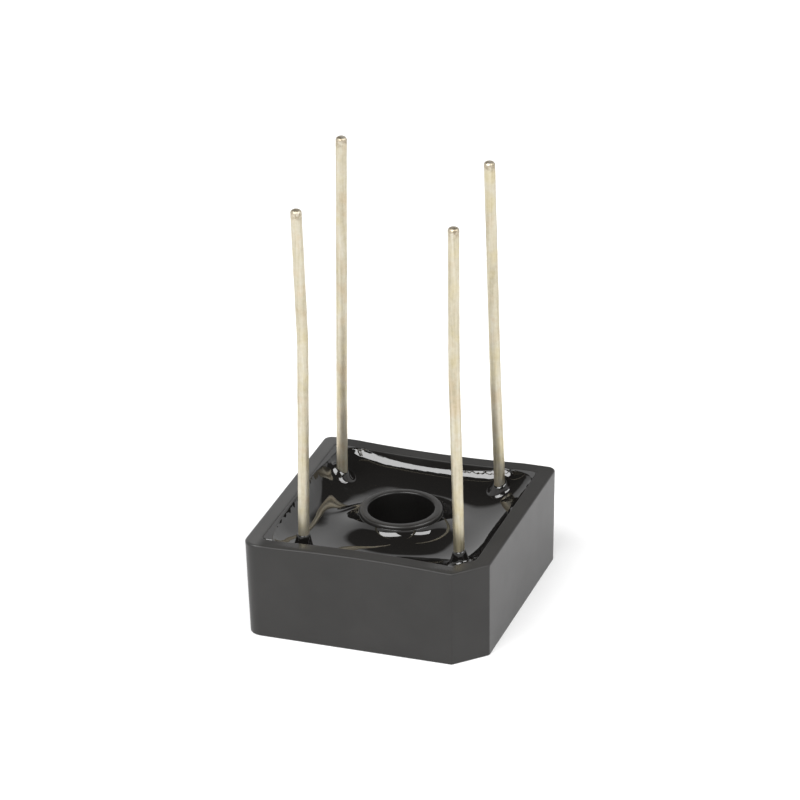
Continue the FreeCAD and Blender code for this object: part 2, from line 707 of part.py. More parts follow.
fill_sheet()
inside, tube = build_case()
embedded = []
for lead, facts in LEADS.items():
    embedded.append(build_strip(lead, facts))
    embedded.append(build_joint(lead, facts))
    embedded.append(build_lead(lead, facts))
embedded += build_diodes()
doc.recompute()
build_resin(inside, tube, embedded)
doc.recompute()
check_document()
write_parts()
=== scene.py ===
# %% [markdown]
# # A small potted bridge rectifier
#
# A moulded black cup holds four diode chips, and four tinned wires stand up out of it.
# The cup is filled with black epoxy, poured in while liquid, and its glossy surface is
# what gives the part its character: it climbs everything that it wets. This lesson builds
# the visible pieces as fine meshes round the exact solids of the frame, and gives every
# surface a finish made of nodes.

# %% Load the frame
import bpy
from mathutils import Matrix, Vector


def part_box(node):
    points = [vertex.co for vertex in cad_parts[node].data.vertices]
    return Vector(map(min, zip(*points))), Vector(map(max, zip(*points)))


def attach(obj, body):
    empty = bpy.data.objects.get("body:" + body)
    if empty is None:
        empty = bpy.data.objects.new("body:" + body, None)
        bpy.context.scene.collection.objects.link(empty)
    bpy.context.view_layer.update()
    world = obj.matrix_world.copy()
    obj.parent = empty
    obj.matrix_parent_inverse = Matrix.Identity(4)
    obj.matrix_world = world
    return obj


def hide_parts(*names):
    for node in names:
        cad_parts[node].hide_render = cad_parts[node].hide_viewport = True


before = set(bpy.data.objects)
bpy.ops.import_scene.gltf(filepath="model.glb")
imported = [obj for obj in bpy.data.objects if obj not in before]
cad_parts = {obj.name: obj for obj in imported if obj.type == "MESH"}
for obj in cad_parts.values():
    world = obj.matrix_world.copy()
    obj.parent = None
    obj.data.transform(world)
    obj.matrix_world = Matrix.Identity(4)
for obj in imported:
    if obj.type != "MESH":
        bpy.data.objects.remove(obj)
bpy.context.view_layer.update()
print("frame nodes:", len(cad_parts))

# %% [markdown]
# The rest is Blender's own Python, with numpy for long lists of points. All sizes below are
# written in millimetres, the unit that the part is drawn in, and turned into Blender's
# metres in one place, where a mesh is made.

# %% Tools used throughout
import math

import bpy
import numpy as np
from mathutils import Matrix, Vector

MM = 0.001
print("Blender", bpy.app.version_string)


def make_piece(name, points, faces):
    """A smooth mesh object from points in millimetres and faces of point numbers."""
    mesh = bpy.data.meshes.new(name)
    mesh.from_pydata((np.asarray(points) * MM).tolist(), [], [tuple(face) for face in faces])
    mesh.validate()
    mesh.polygons.foreach_set("use_smooth", [True] * len(mesh.polygons))
    piece = bpy.data.objects.new(name, mesh)
    bpy.context.scene.collection.objects.link(piece)
    print("%s: %d points, %d faces" % (name, len(mesh.vertices), len(mesh.polygons)))
    return piece


# %% [markdown]
# ## Sizes
#
# The case is the common square package, 15.24 mm a side, standing on its closed face. The
# bottom of each wall leans in by a tenth of a millimetre, so that it leaves the mould, and
# the front and rear walls are drawn in a little at the rim by the shrinking resin. The
# front left corner is rounder than the two at the rear, as the photograph shows them. The
# side and the height could be typed in as well. They are read from the case's own box in
# the frame, so that the mesh and the solid can't drift apart.

# %% Sizes of the case and its screw tube
case_low, case_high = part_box("case")
CASE_SIDE = (case_high.x - case_low.x) / MM
CASE_HEIGHT = (case_high.z - case_low.z) / MM
DRAFT = 0.11
WALL = 1.0
FLOOR = 1.0
FRONT_CORNER = 0.9
REAR_CORNER = 0.5
CUT_LEG = 1.8
CUT_ROUND = 0.16
# Radii of the front left corner, the two ends of the cut and the two rear corners.
OUTER_CORNERS = (FRONT_CORNER, CUT_ROUND, REAR_CORNER)
CAVITY_CORNER = 0.3
CAVITY_CORNERS = (CAVITY_CORNER,) * 3
SINK = {"front": 0.26, "rear": 0.30}
SINK_WIDTH = 11.0
SINK_START = 1.5
HOLE_RADIUS = 2.05
TUBE_WALL = 0.52
TUBE_RADIUS = HOLE_RADIUS + TUBE_WALL
TUBE_DROP = 0.18
TUBE_TOP = CASE_HEIGHT - TUBE_DROP
print("case %.2f mm square, %.2f mm high" % (CASE_SIDE, CASE_HEIGHT))

# %% [markdown]
# ## One outline for every level of the case
#
# Everything about the cup follows one shape: a square with three rounded corners and one
# corner cut across. Drawing that outline once, as a function of how far inside the wall it
# lies and at what height, gives the outer wall, the rim, the cavity and the edge of the
# resin from the same numbers. A polygon and a Bevel modifier would be quicker, but each
# level here needs the same number of points, so that neighbouring levels join in clean
# four-sided faces.

# %% The outline of the cup at any level
ALONG_SIDE = 44
ALONG_CUT = 6
CUT_SIDE = 1
ROUND_STEPS = 10


def sink_depth(wall, across, height):
    """How far the resin has drawn a wall in, at a place across it and a height."""
    share = np.clip((height - SINK_START) / (CASE_HEIGHT - SINK_START), 0, 1)
    bow = 8 * SINK[wall] / SINK_WIDTH ** 2
    return np.maximum(SINK[wall] * share - bow * across ** 2 / 2, 0)


def cup_outline(inset, height, rounds):
    """Points round the cup, anticlockwise from the front left, at an inset and a height."""
    half = CASE_SIDE / 2 - DRAFT * (1 - height / CASE_HEIGHT) - inset
    leg = CUT_LEG - inset * (2 - math.sqrt(2))
    corners = np.array([(-half, -half), (half - leg, -half), (half, leg - half),
                        (half, half), (-half, half)])
    front, cut, rear = rounds
    arcs = []
    for k, radius in enumerate((front, cut, cut, rear, rear)):
        before = corners[k] - corners[k - 1]
        after = corners[(k + 1) % len(corners)] - corners[k]
        before = before / np.linalg.norm(before)
        after = after / np.linalg.norm(after)
        turn = math.acos(float(before @ after))
        start = corners[k] - before * radius * math.tan(turn / 2)
        centre = start + np.array([-before[1], before[0]]) * radius
        first = math.atan2(*(start - centre)[::-1])
        angles = first + np.linspace(0, turn, ROUND_STEPS + 1)
        arcs.append(centre + radius * np.stack([np.cos(angles), np.sin(angles)], 1))
    points = []
    for k, arc in enumerate(arcs):
        points.append(arc[:-1])
        count = ALONG_CUT if k == CUT_SIDE else ALONG_SIDE
        share = np.linspace(0, 1, count, endpoint=False)[:, None]
        points.append(arc[-1] * (1 - share) + arcs[(k + 1) % len(arcs)][0] * share)
    outline = np.concatenate(points)
    in_front = outline[:, 1] < 0
    outline[:, 1] += np.where(in_front, sink_depth("front", outline[:, 0], height),
                              -sink_depth("rear", outline[:, 0], height))
    return outline


print("points round each level:", len(cup_outline(0, CASE_HEIGHT, OUTER_CORNERS)))

# %% [markdown]
# ## Levels become skin
#
# The cup is one closed skin. It runs up the outside, over the rim, down the cavity, over the
# floor, up the screw tube, down the hole and back under the base: a ring of levels that
# meets itself. Cutting the cavity out of a block would leave long thin faces at the rim, so
# each level is drawn instead, as the outline or as a circle whose points sit at the same
# bearings, and one helper joins each level to the next.

# %% Joining levels into a skin
def circle_like(outline, radius):
    """A circle about the hole's axis, with one point at the bearing of each outline point."""
    bearing = np.arctan2(outline[:, 1], outline[:, 0])
    return radius * np.stack([np.cos(bearing), np.sin(bearing)], 1)


def at_height(flat, height):
    """Points of a level with their height added; the height may differ from point to point."""
    return np.column_stack([flat, np.broadcast_to(height, len(flat))])


def band(low, high, around):
    """Four-sided faces between two levels, given the number of each one's first point."""
    step = np.arange(around)
    after = (step + 1) % around
    return np.stack([low + step, low + after, high + after, high + step], 1)


def closed_skin(levels):
    """All points and four-sided faces of a ring of levels that meets itself."""
    around, count = len(levels[0]), len(levels)
    faces = [band(k * around, (k + 1) % count * around, around) for k in range(count)]
    return np.concatenate(levels), np.concatenate(faces)


print("faces between two levels:", len(band(0, 1, len(cup_outline(0, 0, OUTER_CORNERS)))))

# %% [markdown]
# ## The cup, level by level
#
# Nothing that comes out of a mould has a sharp edge, and on black plastic the thin light
# line along a rounded rim is half of what the eye sees. The rim is rounded by about a tenth
# of a millimetre, the screw tube ends in a soft lip, and its mouth flares. One Bevel
# modifier would round every edge alike. Here each rounded edge is a quarter turn of levels
# with a radius of its own, and the straight parts between need only a few.

# %% Rounded edges and straight parts
RIM_ROUND = 0.13
INNER_ROUND = 0.09
BASE_ROUND = 0.05
TUBE_ROUND = 0.16
MOUTH_ROUND = 0.12
# The straight parts. The first or last level of each lies close to a rounding.
OUTER_HEIGHTS = np.linspace(BASE_ROUND + 0.1, CASE_HEIGHT - RIM_ROUND - 0.05, 18)
RIM_INSETS = np.linspace(RIM_ROUND + 0.04, WALL - INNER_ROUND - 0.04, 6)
CAVITY_HEIGHTS = (CASE_HEIGHT - INNER_ROUND - 0.05, 5.5, 4.5, FLOOR)
TUBE_HEIGHTS = (FLOOR, 4.5, 5.4, TUBE_TOP - TUBE_ROUND - 0.05)
HOLE_HEIGHTS = (5.0, 3.0, 1.0, 0.1)
BASE_RINGS = (HOLE_RADIUS + 0.05, HOLE_RADIUS + 0.2)


def quarter(radius, steps=5):
    """A rounding level by level: how far it has come in, and how far it still has to go."""
    turn = np.linspace(0, math.pi / 2, steps + 1)
    return list(zip(radius * (1 - np.cos(turn)), radius * (1 - np.sin(turn))))


print("levels in a rounded edge:", len(quarter(RIM_ROUND)))

# %% [markdown]
# The cup is then one list of levels, in the order in which a finger would trace its section.
# Modelling inside and outside as two shells would be as easy, but their edges would have to
# be sewn together at the rim. The finished piece takes the place of the plain solid.

# %% The cup
def cup_levels():
    """Every level of the cup's skin, from the bottom of the outer wall round to the base."""
    levels = []
    guide = cup_outline(WALL, CASE_HEIGHT, CAVITY_CORNERS)

    def level(inset, height, rounds=OUTER_CORNERS):
        levels.append(at_height(cup_outline(inset, height, rounds), height))

    def ring(radius, height):
        levels.append(at_height(circle_like(guide, radius), height))

    for come, left in quarter(BASE_ROUND, 3):
        level(left, come)
    for height in OUTER_HEIGHTS:
        level(0, height)
    for come, left in quarter(RIM_ROUND):
        level(come, CASE_HEIGHT - left)
    for inset in RIM_INSETS:
        share = inset / WALL
        rounds = [corner * (1 - share) + CAVITY_CORNER * share for corner in OUTER_CORNERS]
        level(inset, CASE_HEIGHT, rounds)
    for come, left in quarter(INNER_ROUND):
        level(WALL - left, CASE_HEIGHT - come, CAVITY_CORNERS)
    for height in CAVITY_HEIGHTS:
        level(WALL, height, CAVITY_CORNERS)
    for height in TUBE_HEIGHTS:
        ring(TUBE_RADIUS, height)
    for come, left in quarter(TUBE_ROUND):
        ring(TUBE_RADIUS - come, TUBE_TOP - left)
    for come, left in quarter(MOUTH_ROUND):
        ring(HOLE_RADIUS + left, TUBE_TOP - come)
    for height in HOLE_HEIGHTS:
        ring(HOLE_RADIUS, height)
    for radius in BASE_RINGS:
        ring(radius, 0)
    return levels


cup_points, cup_faces = closed_skin(cup_levels())
cup = make_piece("case_shell", cup_points, cup_faces)
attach(cup, "root")
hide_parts("case")

# %% [markdown]
# ## The wires
#
# Each lead is a soft copper wire, dipped in tin, that somebody has handled: it leans and
# bends by a degree or so. Its path is an upright start in the resin and two straight runs
# joined by wide arcs. A spline through a few points would bend all the way, which a wire
# doesn't do. Three of the paths are those that the part is drawn with. The foot of the rear
# left wire stands a tenth of a millimetre further over, where a closer look at the
# photograph puts it.

# %% Where the wires stand and how they lean
LEAD_RADIUS = 0.34
LEAD_INSET = 2.77
FRAME_TURN = 5.0
EXIT_HEIGHT = 6.1
BEND_RADIUS = 30.0
LEADS = {
    "positive": {"bearing": 315, "shift": -0.03, "heading": 20.0,
                 "low_lean": -0.65, "high_lean": 0.6, "kink": 18.0},
    "ac_rear": {"bearing": 45, "shift": 0.21, "heading": 20.0,
                "low_lean": -1.6, "high_lean": -0.85, "kink": 12.5},
    "negative": {"bearing": 135, "shift": -0.20, "heading": 62.0,
                 "low_lean": 1.6, "high_lean": 1.7, "kink": 10.5},
    "ac_front": {"bearing": 225, "shift": -0.01, "heading": 20.0,
                 "low_lean": 1.3, "high_lean": -1.1, "kink": 18.5},
}


def lead_foot(facts):
    """Where a wire leaves the frame's corner, in millimetres."""
    corner = (CASE_SIDE / 2 - LEAD_INSET) * math.sqrt(2)
    bearing = math.radians(facts["bearing"] + FRAME_TURN)
    heading = math.radians(facts["heading"])
    return np.array([
        corner * math.cos(bearing) + facts["shift"] * math.cos(heading),
        corner * math.sin(bearing) + facts["shift"] * math.sin(heading),
    ])


def lean_offset(facts, height):
    """How far the wire's centre has moved along its heading at each height."""
    low = math.radians(facts["low_lean"])
    high = math.radians(facts["high_lean"])

    def bend(start, before, after):
        """Extra offset of a bend that starts at a height: an arc, then its new slope."""
        rise = BEND_RADIUS * abs(math.sin(after) - math.sin(before))
        slope = math.tan(after) - math.tan(before)
        past = np.clip(height - start, 0, None)
        return np.where(past < rise, slope * past ** 2 / (2 * rise), slope * (past - rise / 2))

    return bend(EXIT_HEIGHT, 0.0, low) + bend(facts["kink"], low, high)


for lead, facts in LEADS.items():
    print(lead, "foot at", lead_foot(facts).round(2))

# %% [markdown]
# ## A dipped skin
#
# Tin runs down a wire while it is still liquid, so the coat is a little thicker here and
# thinner there, which a curve with a round bevel can't show. A ring of points is carried up
# the path instead, and slow waves change its radius by a hundredth of a millimetre. The
# shears leave a blunt tip, which the dip rounds off. Each point also remembers how far it
# lies below the tip, because the finish changes there.

# %% Rings up a wire
ROUND_THE_WIRE = 40
RING_STEP = 0.12
HIDDEN_FOOT = 0.5
TIP_ROUND = 0.2
TIP_RINGS = 9
TIP_LENGTH = 0.35
TIP_MARGIN = 0.02
TIP_DOME = 0.015
COAT_WAVES = 5
WAVE_SIZE = 0.006


def wire_points(lead, facts, seed):
    """Rings of points up one wire, from its hidden foot to its cut tip."""
    rng = np.random.default_rng(seed)
    low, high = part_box("lead_" + lead)
    bottom = low.z / MM
    top = high.z / MM
    straight = np.arange(bottom + HIDDEN_FOOT, top - TIP_LENGTH, RING_STEP)
    foot = lead_foot(facts)
    heading = math.radians(facts["heading"])
    angle = np.linspace(0, 2 * math.pi, ROUND_THE_WIRE, endpoint=False)
    waves = rng.uniform(0, 2 * math.pi, (COAT_WAVES, 2))
    levels = []

    def ring(height, radius):
        offset = float(lean_offset(facts, np.array(height)))
        centre = foot + offset * np.array([math.cos(heading), math.sin(heading)])
        swell = np.zeros_like(angle)
        for k, (phase, spin) in enumerate(waves):
            pace = 0.9 + 0.75 * k
            twist = 0.5 + 0.3 * k
            swell += np.sin(height * pace + phase + np.cos(angle + spin) * twist)
        size = radius * (1 + WAVE_SIZE * swell)
        flat = centre + np.stack([np.cos(angle) * size, np.sin(angle) * size], 1)
        levels.append(at_height(flat, height))

    ring(bottom, LEAD_RADIUS)
    for height in straight:
        ring(height, LEAD_RADIUS)
    tip = top - TIP_MARGIN
    for angle_up in np.linspace(0, math.pi / 2, TIP_RINGS):
        ring(tip - TIP_ROUND * (1 - math.sin(angle_up)),
             LEAD_RADIUS - TIP_ROUND * (1 - math.cos(angle_up)))
    for share in (0.6, 0.3):
        ring(tip + TIP_DOME * (1 - share), (LEAD_RADIUS - TIP_ROUND) * share)
    return levels


print("rings up the positive wire:", len(wire_points("positive", LEADS["positive"], seed=0)))

# %% [markdown]
# The rings join as the cup's levels do, but a wire has two ends. Each is closed by a fan of
# three-sided faces round a point on the wire's axis. One face with forty sides would do for
# a flat cut, but this tip is slightly domed. Each wire gets waves of its own from its seed,
# so no two coats are alike.

# %% The four wires
def capped_tube(levels):
    """Points and faces of a tube whose two ends are closed by fans."""
    around = len(levels[0])
    points = np.concatenate(levels + [levels[0].mean(0)[None], levels[-1].mean(0)[None]])
    foot, tip = len(points) - 2, len(points) - 1
    last = (len(levels) - 1) * around
    faces = []
    for low in range(0, last, around):
        faces += band(low, low + around, around).tolist()
    step = np.arange(around)
    after = (step + 1) % around
    faces += np.stack([after, step, np.full(around, foot)], 1).tolist()
    faces += np.stack([last + step, last + after, np.full(around, tip)], 1).tolist()
    return points, faces


wires = {}
for seed, (lead, facts) in enumerate(LEADS.items()):
    points, faces = capped_tube(wire_points(lead, facts, seed))
    wire = make_piece("wire_" + lead, points, faces)
    below_tip = wire.data.attributes.new("below_tip", "FLOAT", "POINT")
    below_tip.data.foreach_set("value", points[:, 2].max() - points[:, 2])
    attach(wire, "root")
    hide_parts("lead_" + lead)
    wires[lead] = wire

# %% [markdown]
# ## The poured resin
#
# Liquid epoxy is level in the open and climbs whatever it wets: the walls, the tube and the
# wires. As it cures it also shrinks, which leaves a wide dish between the walls. Both the
# steep climb and the wide dish die away with distance, so the surface is a sum of
# exponentials, two for each wall and two for the tube. A fluid simulation could give a
# surface like this, but not this very one, and here each number means something.

# %% How the resin stands against the walls and the tube
RESIN_LEVEL = 4.31
# For each wall: the steep climb and its reach, then the wide dish and its reach.
WALL_CLIMB = {
    "front": (0.10, 0.50, 1.03, 3.82),
    "rear": (0.46, 0.30, 1.36, 1.66),
    "left": (0.48, 0.35, 1.36, 1.19),
    "right": (0.29, 0.51, 0.88, 1.92),
}
TUBE_CLIMB = (0.16, 0.12, 1.00, 0.96)
# The dish round the tube reaches a little further on its left.
TUBE_LEFT_REACH = 0.25
print("the resin's level in the open: %.2f mm" % RESIN_LEVEL)

# %% [markdown]
# Round each wire the resin stands up in a collar with a rounded shoulder, half a
# millimetre to a millimetre high and about a quarter of one wide. No two are alike, which
# shows in the white dots that they mirror. A turned ring could be set on each wire, but its
# edge would show. A bell curve that is added to the surface has none, and a power a little
# under two keeps its shoulder soft.

# %% Collars on the wires
# For each wire: the height of the resin's collar on it and how far out that reaches.
COLLARS = {
    "positive": (0.80, 0.20),
    "ac_rear": (0.54, 0.27),
    "negative": (0.47, 0.31),
    "ac_front": (1.02, 0.19),
}
COLLAR_SHOULDER = 1.9
print("tallest collar: %.2f mm" % max(height for height, _ in COLLARS.values()))

# %% [markdown]
# Pouring leaves slow lumps and hollows too, and they matter more than their height says:
# the bent golden streak beside the tube is one wire's image, and its bend is made by a ridge
# two tenths of a millimetre high. They could be pushed up with a sculpting brush. Written
# as mounds, each with a name, they can be moved one at a time and come out the same in
# every run.

# %% Lumps and hollows
# For each mound: the place of its middle, its length, breadth, turn and height.
LUMPS = {
    "swell along the left wall": (-6.45, 0.12, 3.38, 0.48, 84.5, 0.13),
    "ridge left of the tube": (-3.12, 1.29, 1.14, 0.32, 36.6, 0.19),
    "swell by the rear left lead": (-5.79, 3.62, 1.88, 0.91, -62.6, 0.34),
    "hollow in the front left corner": (-5.75, -4.21, 0.94, 1.03, 83.8, -0.06),
    "drip on the tube's left": (-2.87, 0.34, 0.30, 0.57, -76.6, 0.04),
    "hollow at the left wall": (-8.30, 2.25, 1.20, 1.41, 96.7, -0.14),
    "swell in the rear left corner": (-4.17, 5.39, 0.80, 0.65, -19, 0.10),
    "swell by the right wall": (5.89, -0.82, 1.70, 1.61, 52, 0.02),
    "hollow by the front left lead": (-4.95, -2.16, 1.51, 1.49, -49.9, -0.08),
    "hollow behind the tube": (-1.66, 2.48, 1.92, 0.76, 24, -0.14),
    "swell behind the tube": (-2.5, 4.0, 1.9, 1.4, 0, 0.14),
    "hollow by the front right lead": (2.99, -3.70, 1.17, 1.58, 83, -0.07),
}
print("mounds:", len(LUMPS), "deepest %.2f mm" % min(facts[-1] for facts in LUMPS.values()))

# %% [markdown]
# ## One height for every place
#
# The surface is the sum of all of these. Against the rough walls its upper edge also creeps
# up and down, which three sine waves of different pace draw without repeating. Because the
# height is a plain function of the place, the mesh can be as fine as the gloss needs.

# %% The height of the resin
CREEP_HEIGHT = 0.07
CREEP_REACH = 0.16
# The creep's waves: radians in a millimetre, phase and share.
CREEP_WAVES = ((7.3, 0.0, 1.0), (15.1, 1.3, 1.0), (24.7, 4.0, 0.5))
# Walls at right angles carry different stretches of the same waves.
CREEP_SLANT = 1.1
RIM_MARGIN = 0.005


def creep(x, y):
    """The uneven line that the resin leaves on a rough wall, from -1 to 1."""
    along = x + CREEP_SLANT * y
    waves = sum(share * np.sin(pace * along + phase) for pace, phase, share in CREEP_WAVES)
    return waves / sum(share for _, _, share in CREEP_WAVES)


def resin_height(x, y):
    """Height of the resin's surface over the cavity, in millimetres."""
    wall = CASE_SIDE / 2 - WALL
    gaps = {"front": wall + y, "rear": wall - y, "left": wall + x, "right": wall - x}
    height = np.full_like(x, RESIN_LEVEL)
    for side, gap in gaps.items():
        steep, steep_reach, wide, wide_reach = WALL_CLIMB[side]
        gap = np.maximum(gap, 0)
        height += steep * np.exp(-gap / steep_reach) + wide * np.exp(-gap / wide_reach)
    nearest = np.maximum(np.minimum.reduce(list(gaps.values())), 0)
    height += CREEP_HEIGHT * creep(x, y) * np.exp(-nearest / CREEP_REACH)
    steep, steep_reach, wide, wide_reach = TUBE_CLIMB
    from_axis = np.hypot(x, y)
    beyond = np.maximum(from_axis - TUBE_RADIUS, 0)
    wide_reach = wide_reach + TUBE_LEFT_REACH * (np.minimum(x, 0) / from_axis) ** 2
    height += steep * np.exp(-beyond / steep_reach) + wide * np.exp(-beyond / wide_reach)
    for lead, facts in LEADS.items():
        foot = lead_foot(facts)
        climb, reach = COLLARS[lead]
        beyond = np.maximum(np.hypot(x - foot[0], y - foot[1]) - LEAD_RADIUS, 0)
        height += climb * np.exp(-(beyond / reach) ** COLLAR_SHOULDER)
    for place_x, place_y, length, breadth, turn, rise in LUMPS.values():
        turn = math.radians(turn)
        along = (x - place_x) * math.cos(turn) + (y - place_y) * math.sin(turn)
        across = (y - place_y) * math.cos(turn) - (x - place_x) * math.sin(turn)
        height += rise * np.exp(-(along / length) ** 2 - (across / breadth) ** 2)
    return np.minimum(height, CASE_HEIGHT - RIM_MARGIN)


by_tube, in_corner = resin_height(np.array([0.0, -6.4]), np.array([-2.7, -6.4]))
print("resin by the tube %.2f mm, in the front left corner %.2f mm" % (by_tube, in_corner))

# %% [markdown]
# ## The resin's mesh
#
# A glossy surface shows every facet, and a collar's slope is only a few tenths of a
# millimetre wide. An even grid fine enough for that would take several times as many faces,
# so the points are gathered where the form is small: round the wires, along the walls and
# by the tube.

# %% The resin as a closed skin
RESIN_AROUND = 560
RESIN_STEPS = 124
# How far from the wall to the tube the wires stand, as a share of the way.
WIRE_SHARE = 0.34
GATHER_SAMPLES = 6000


def gathered(count, low, high, centres, width, strength):
    """Values from low to high, closer together round some centres."""
    fine = np.linspace(low, high, GATHER_SAMPLES)
    density = np.ones_like(fine)
    for centre in centres:
        density += strength * np.exp(-((fine - centre) / width) ** 2)
    total = np.concatenate([[0], np.cumsum((density[1:] + density[:-1]) / 2)])
    return np.interp(np.linspace(0, total[-1], count), total, fine)


def resin_levels():
    """Levels from the wall in to the tube over the surface, then back under it."""
    feet = [lead_foot(facts) for facts in LEADS.values()]
    towards = [math.atan2(foot[1], foot[0]) for foot in feet]
    bearings = gathered(RESIN_AROUND + 1, -math.pi, math.pi, towards, width=0.11, strength=6.0)
    bearings = bearings[:-1]
    outline = cup_outline(WALL, CASE_HEIGHT, CAVITY_CORNERS)
    outline = outline[np.argsort(np.arctan2(outline[:, 1], outline[:, 0]))]
    reach = np.interp(bearings, np.arctan2(outline[:, 1], outline[:, 0]),
                      np.hypot(outline[:, 0], outline[:, 1]), period=2 * math.pi)
    bearing = np.stack([np.cos(bearings), np.sin(bearings)], 1)
    wall = bearing * reach[:, None]
    tube = bearing * TUBE_RADIUS
    levels = []
    crowded = (0.0, WIRE_SHARE, 1.0)
    for share in gathered(RESIN_STEPS, 0, 1, crowded, width=0.11, strength=3.0):
        flat = wall * (1 - share) + tube * share
        levels.append(at_height(flat, resin_height(flat[:, 0], flat[:, 1])))
    levels.append(at_height(tube, FLOOR))
    levels.append(at_height(wall, FLOOR))
    return levels


resin_points, resin_faces = closed_skin(resin_levels())
resin = make_piece("poured_resin", resin_points, resin_faces)
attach(resin, "root")
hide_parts("potting_compound")

# %% [markdown]
# ## Finishes as sums
#
# A finish here is arithmetic on sockets: grain plus streaks, one minus a mask. The small
# class below wraps one socket of a node tree, so that Python's own operators add the nodes:
# Math nodes for values, Vector Math for vectors and Mix nodes for colours, because a Math
# node would turn a colour grey. One method makes any other node.

# %% A socket that can be added and multiplied
class Mix:
    """One output socket of a node tree, with Python's operators."""

    def __init__(self, tree, socket=None):
        self.tree = tree
        self.socket = socket

    def make(self, kind, settings=None, take=0, **inputs):
        """Adds a node: its settings first, then a value or a link for each named socket."""
        node = self.tree.nodes.new(kind)
        for name, value in (settings or {}).items():
            if name == "stops":
                stops = node.color_ramp.elements
                while len(stops) < len(value):
                    stops.new(0.5)
                for stop, (place, colour) in zip(stops, value):
                    stop.position = place
                    stop.color = (*colour, 1)
            else:
                setattr(node, name, value)
        for name, value in inputs.items():
            key = int(name[1:]) if name[0] == "_" else name.replace("_", " ")
            if isinstance(value, Mix):
                self.tree.links.new(value.socket, node.inputs[key])
            else:
                node.inputs[key].default_value = value
        return Mix(self.tree, node.outputs[take])

    def blend(self, kind, first, second, share=1.0):
        """Two colours through a Mix node; a plain number stands for a grey."""
        first, second = (value if isinstance(value, (Mix, tuple)) else (value,) * 3 + (1,)
                         for value in (first, second))
        return self.make("ShaderNodeMix", {"data_type": "RGBA", "blend_type": kind}, take=2,
                         _0=share, _6=first, _7=second)

    def sum(self, operation, first, second):
        """Colours meet in a Mix node, vectors in Vector Math, and values in a Math node."""
        kinds = {value.socket.type for value in (first, second) if isinstance(value, Mix)}
        if "RGBA" in kinds:
            return self.blend(operation, first, second)
        if "VECTOR" in kinds:
            first, second = (value if isinstance(value, (Mix, tuple)) else (value,) * 3
                             for value in (first, second))
            return self.make("ShaderNodeVectorMath", {"operation": operation},
                             _0=first, _1=second)
        return self.make("ShaderNodeMath", {"operation": operation}, _0=first, _1=second)

    def __add__(self, other):
        return self.sum("ADD", self, other)

    def __radd__(self, other):
        return self.sum("ADD", other, self)

    def __sub__(self, other):
        return self.sum("SUBTRACT", self, other)

    def __rsub__(self, other):
        return self.sum("SUBTRACT", other, self)

    def __mul__(self, other):
        return self.sum("MULTIPLY", self, other)

    def __rmul__(self, other):
        return self.sum("MULTIPLY", other, self)

    def __abs__(self):
        return self.make("ShaderNodeMath", {"operation": "ABSOLUTE"}, _0=self)


print("sockets now take + - * and abs")

# %% [markdown]
# Every finish begins and ends in the same way. One helper starts a material, one joins
# values or sockets to its shader, and one hands the finish to its pieces. All this could be
# clicked together in the shader editor, but a script makes the same finish every time.

# %% Starting and handing over a finish
def new_finish(name):
    """A material with an empty Principled surface: the material, its tree and its shader."""
    finish = bpy.data.materials.new(name)
    finish.use_nodes = True
    shader = next(node for node in finish.node_tree.nodes if node.type == "BSDF_PRINCIPLED")
    return finish, Mix(finish.node_tree), shader


def feed(tree, shader, **values):
    """Links or sets the shader's sockets, named with underscores for spaces."""
    for name, value in values.items():
        socket = shader.inputs[name.replace("_", " ")]
        if isinstance(value, Mix):
            tree.tree.links.new(value.socket, socket)
        else:
            socket.default_value = value


def dress(pieces, finish):
    """Gives pieces their finish."""
    for piece in pieces:
        piece.data.materials.clear()
        piece.data.materials.append(finish)
    print("%s: %d nodes, %d pieces" % (finish.name, len(finish.node_tree.nodes), len(pieces)))


print("materials before the first finish:", len(bpy.data.materials))

# %% [markdown]
# The places of a texture come in millimetres, so that a grain can be written at its real
# size. A texture could also be laid on by unwrapping the mesh, but these run through the
# piece as through solid stuff, with no seams. Noise, a ramp of tones and a soft mask between
# two limits are used again and again, so each has a short name.

# %% Places, noise, tones and masks
def places(tree, stretch=(1, 1, 1)):
    """Places on the piece in millimetres, stretched along an axis where a grain runs."""
    where = tree.make("ShaderNodeTexCoord", take="Object")
    scale = tuple(value / MM for value in stretch)
    return tree.make("ShaderNodeMapping", Vector=where, Scale=scale)


def noise(where, scale, detail, roughness=0.5):
    """Cloudy grey values over some places; the scale is in patches to a millimetre."""
    return where.make("ShaderNodeTexNoise", Vector=where, Scale=scale, Detail=detail,
                      Roughness=roughness)


def tones(share, *stops):
    """A colour for each value from 0 to 1, by way of stops with a place and a colour each."""
    return share.make("ShaderNodeValToRGB", {"stops": stops}, Fac=share)


def between(value, low, high):
    """A soft mask: nothing at low and all of it at high, whichever of them is larger."""
    return value.make("ShaderNodeMapRange", {"interpolation_type": "SMOOTHSTEP"},
                      Value=value, From_Min=low, From_Max=high)


print("texture places to a metre: %.0f" % (1 / MM))
